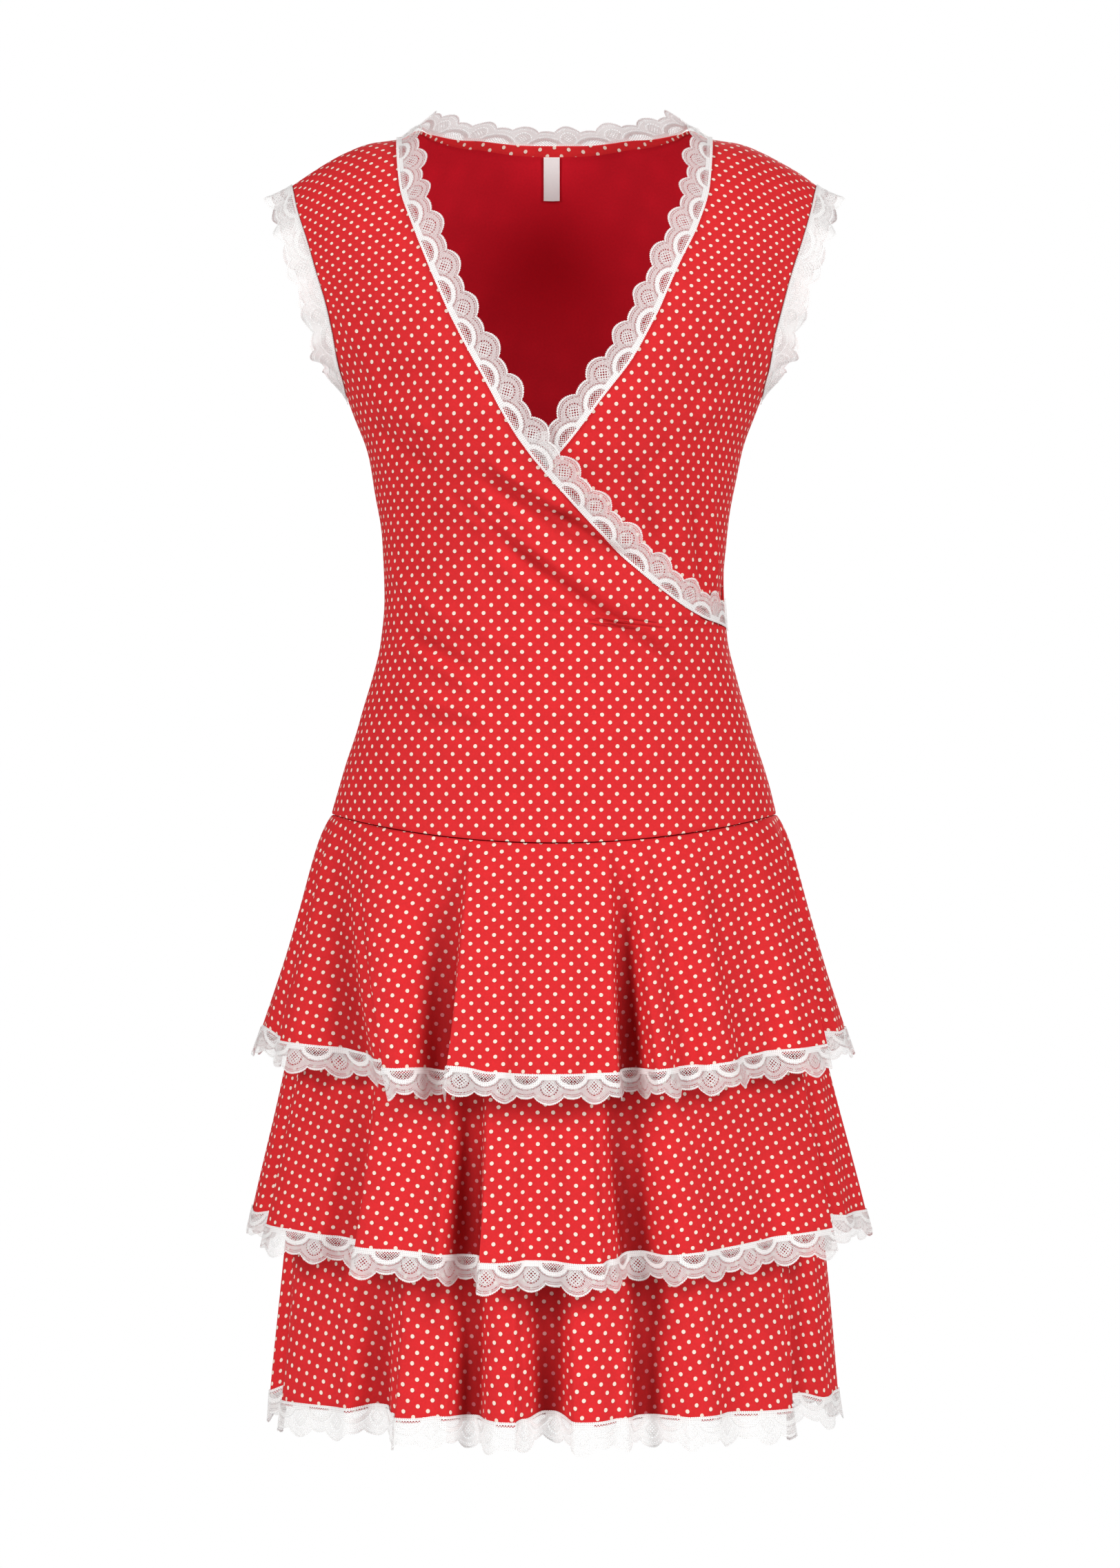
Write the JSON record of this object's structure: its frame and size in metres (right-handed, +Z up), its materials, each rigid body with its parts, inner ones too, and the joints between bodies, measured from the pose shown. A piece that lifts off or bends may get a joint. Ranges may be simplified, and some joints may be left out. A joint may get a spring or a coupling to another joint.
{
  "type": "wrap dress",
  "caption": "Sleeveless wrap dress with a crossed V neck, a dropped hip seam, circle-cut flounces and scalloped lace edgings, hollow as worn.",
  "frame": {"origin": "midway between the two points where the shoulder seams meet the neckline, where the wearer's shoulders hold the dress", "axes": "+Z up, the front faces -Y, +X is the wearer's left"},
  "size_m": [0.4412, 0.3688, 0.9306],
  "materials": {
    "red_jersey": "matte viscose jersey with small cream dots",
    "white_lace": "scalloped stretch lace",
    "label_weave": "bare woven label"
  },
  "bodies": {
    "root": {"bodice_back": "red_jersey", "bodice_front_outer": "red_jersey", "bodice_front_under": "red_jersey", "underskirt_front": "red_jersey", "underskirt_back": "red_jersey", "flounce_1_front": "red_jersey", "flounce_1_back": "red_jersey", "flounce_2_front": "red_jersey", "flounce_2_back": "red_jersey", "flounce_3_front": "red_jersey", "flounce_3_back": "red_jersey", "lace_hem_1_front": "white_lace", "lace_hem_1_back": "white_lace", "lace_hem_2_front": "white_lace", "lace_hem_2_back": "white_lace", "lace_hem_3_front": "white_lace", "lace_hem_3_back": "white_lace", "lace_wrap_edge": "white_lace", "lace_under_edge": "white_lace", "lace_back_neck": "white_lace", "lace_armhole_right": "white_lace", "lace_armhole_left": "white_lace", "neck_label": "label_weave"}
  },
  "joints": []
}
